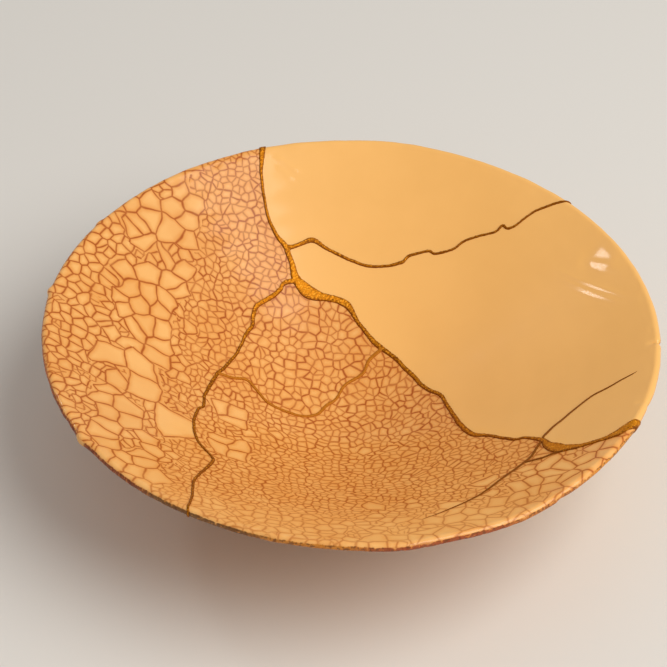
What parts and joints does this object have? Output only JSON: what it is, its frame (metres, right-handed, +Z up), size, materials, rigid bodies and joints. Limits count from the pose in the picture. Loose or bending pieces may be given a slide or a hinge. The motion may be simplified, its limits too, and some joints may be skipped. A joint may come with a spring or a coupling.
{
  "type": "kintsugi bowl",
  "caption": "Shallow round ceramic bowl on a low turned foot ring, broken into sherds and mended with raised gold lacquer seams.",
  "frame": {"origin": "centre of the foot ring's resting face", "axes": "+Z up along the bowl's axis, +Y towards the back of the rim, +X to the right"},
  "size_m": [0.1803, 0.1802, 0.0471],
  "materials": {
    "crackled_glaze": "warm cream glaze with a stained red-brown crackle, satin gloss",
    "plain_glaze": "smooth warm cream glaze, satin gloss",
    "gold_lacquer": "raised granular gold powder on lacquer, darker along its edges"
  },
  "bodies": {
    "root": {"left_sherd": "crackled_glaze", "centre_sherd": "crackled_glaze", "front_sherd": "crackled_glaze", "back_sherd": "plain_glaze", "right_sherd": "plain_glaze", "gold_lacquer": "gold_lacquer"}
  },
  "joints": []
}
